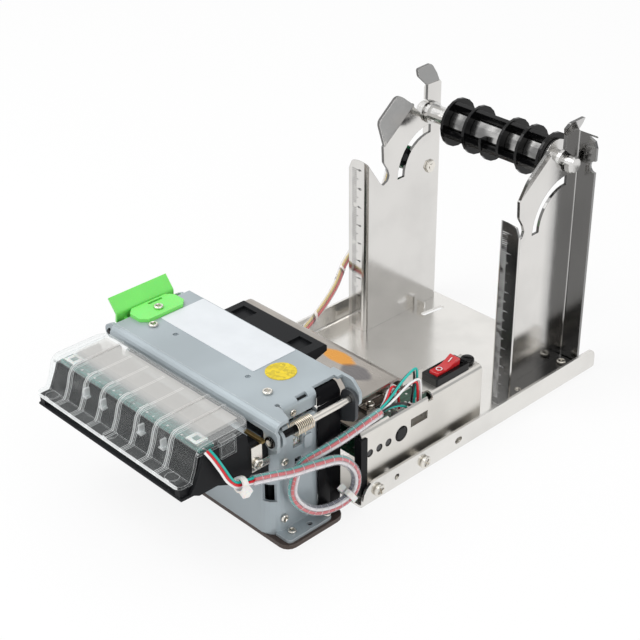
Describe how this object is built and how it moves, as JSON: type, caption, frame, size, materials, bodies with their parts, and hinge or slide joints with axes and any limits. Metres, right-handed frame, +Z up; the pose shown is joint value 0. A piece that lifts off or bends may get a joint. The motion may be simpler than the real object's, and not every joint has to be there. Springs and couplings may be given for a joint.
{
  "type": "kiosk receipt printer",
  "caption": "Open-frame kiosk receipt printer with a tray, roll uprights with a spindle, a control box, a hinged printing head and a clear paper bezel.",
  "frame": {"origin": "centre of the footprint's bounding box, on the surface that the printer stands on", "axes": "+Z up, -Y towards the bezel where the receipt comes out, +Y towards the paper roll, +X towards the control box"},
  "size_m": [0.125, 0.2508, 0.1325],
  "materials": {
    "stainless": "bright",
    "polished_stainless": "polished",
    "box_stainless": "satin",
    "blue_grey_paint": "satin",
    "dark_brown_paint": "satin",
    "dark_grey_metal": "satin",
    "black_plastic": "satin",
    "black_gloss": "gloss",
    "clear_plastic": "clear gloss",
    "green_paint": "gloss",
    "red_plastic": "gloss",
    "white_plastic": "satin",
    "cable_sleeve": "translucent",
    "flat_cable": "satin",
    "green_board": "satin",
    "teal_board": "satin",
    "platen_rubber": "matt",
    "bright_steel": "polished",
    "shaft_steel": "polished",
    "motor_metal": "satin",
    "blade_steel": "ground",
    "head_aluminium": "satin",
    "brass": "satin",
    "label_white": "matt",
    "gold_foil": "foil"
  },
  "bodies": {
    "base": {"base_tray": "stainless", "base_plate": "dark_brown_paint", "floor_strap": "dark_grey_metal", "right_upright": "polished_stainless", "left_upright": "polished_stainless", "control_box": "box_stainless", "control_board": "green_board", "box_edge_trim": "black_plastic", "rocker_switch_body": "black_gloss", "guide_bridge": "stainless", "printer_frame": "blue_grey_paint", "hinge_bracket": "dark_grey_metal", "printer_chassis": "black_plastic", "feed_motor": "motor_metal", "cutter_motor": "motor_metal", "hinge_shaft": "bright_steel", "torsion_spring": "bright_steel", "flat_cable_frame": "flat_cable", "bezel_hood": "clear_plastic", "bezel_base": "black_plastic", "led_board": "teal_board", "bezel_bracket": "bright_steel", "bezel_screw": "bright_steel", "brass_strip": "brass", "wire_harness": "cable_sleeve", "cable_tie_front": "white_plastic", "cable_tie_rear": "white_plastic", "sensor_cable": "cable_sleeve", "skirt_screw_right_front": "bright_steel", "skirt_screw_right_rear": "bright_steel", "skirt_screw_left_front": "bright_steel", "skirt_screw_left_rear": "bright_steel"},
    "cover": {"top_cover": "blue_grey_paint", "latch_plate": "green_paint", "latch_screw": "bright_steel", "latch_pin": "black_plastic", "paper_inlet_guide": "black_plastic", "print_head": "head_aluminium", "fixed_blade": "blade_steel", "cover_screw_left": "bright_steel", "cover_screw_right": "bright_steel", "label_plate": "label_white", "round_sticker": "gold_foil", "flat_cable_cover": "flat_cable"},
    "lever": {"latch_lever": "green_paint"},
    "rocker_key": {"rocker": "red_plastic"},
    "button": {"feed_button": "black_gloss"},
    "spindle": {"spindle_shaft": "shaft_steel"},
    "hub": {"spindle_hub": "black_plastic"},
    "platen": {"platen_roller": "platen_rubber", "platen_shaft": "shaft_steel", "platen_gear": "white_plastic"},
    "idler": {"idler_gear": "white_plastic"},
    "pinion": {"motor_pinion": "brass"},
    "blade": {"moving_blade": "blade_steel"},
    "cutter_gear": {"cutter_pinion": "brass"},
    "sensor": {"sensor_bracket": "black_plastic", "sensor_board": "green_board"}
  },
  "joints": [
    {"name": "cover_hinge", "type": "hinge", "parent": "base", "child": "cover", "pos_m": [0.0547, -0.0598, 0.0557], "axis": [0, 1, 0], "range_deg": [0, 80]},
    {"name": "latch_lever_turn", "type": "hinge", "parent": "cover", "child": "lever", "pos_m": [-0.0537, -0.0598, 0.0594], "axis": [0, -1, 0], "range_deg": [0, 10], "stiffness_Nm_per_rad": 0.05},
    {"name": "rocker_tilt", "type": "hinge", "parent": "base", "child": "rocker_key", "pos_m": [0.0505, 0.02495, 0.0382], "axis": [1, 0, 0], "range_deg": [-24, 0]},
    {"name": "button_press", "type": "slide", "parent": "base", "child": "button", "axis": [-1, 0, 0], "range_m": [0, 0.0015], "stiffness_N_per_m": 300},
    {"name": "spindle_lift", "type": "slide", "parent": "base", "child": "spindle", "axis": [0, -0.7524, 0.6587], "range_m": [0, 0.0125]},
    {"name": "hub_spin", "type": "hinge", "parent": "spindle", "child": "hub", "pos_m": [0.005, 0.1132, 0.1095], "axis": [1, 0, 0], "continuous": true},
    {"name": "platen_spin", "type": "hinge", "parent": "base", "child": "platen", "pos_m": [0, -0.0598, 0.048], "axis": [1, 0, 0], "continuous": true},
    {"name": "idler_spin", "type": "hinge", "parent": "base", "child": "idler", "pos_m": [0.04625, -0.0653, 0.03351], "axis": [1, 0, 0], "continuous": true},
    {"name": "pinion_spin", "type": "hinge", "parent": "base", "child": "pinion", "pos_m": [0.04625, -0.0628, 0.01872], "axis": [1, 0, 0], "continuous": true},
    {"name": "blade_rise", "type": "slide", "parent": "base", "child": "blade", "axis": [0, 0, 1], "range_m": [0, 0.005]},
    {"name": "cutter_gear_turn", "type": "hinge", "parent": "base", "child": "cutter_gear", "pos_m": [-0.0375, -0.0648, 0.023], "axis": [1, 0, 0], "range_deg": [-75, 0]},
    {"name": "sensor_turn", "type": "hinge", "parent": "base", "child": "sensor", "pos_m": [-0.045, 0.1132, 0.0802], "axis": [1, 0, 0], "range_deg": [-15, 20]}
  ],
  "couplings": [
    {"joint": "idler_spin", "follows": "platen_spin", "ratio": -0.55},
    {"joint": "pinion_spin", "follows": "platen_spin", "ratio": 1.1},
    {"joint": "cutter_gear_turn", "follows": "blade_rise", "rad_per_m": -250}
  ]
}
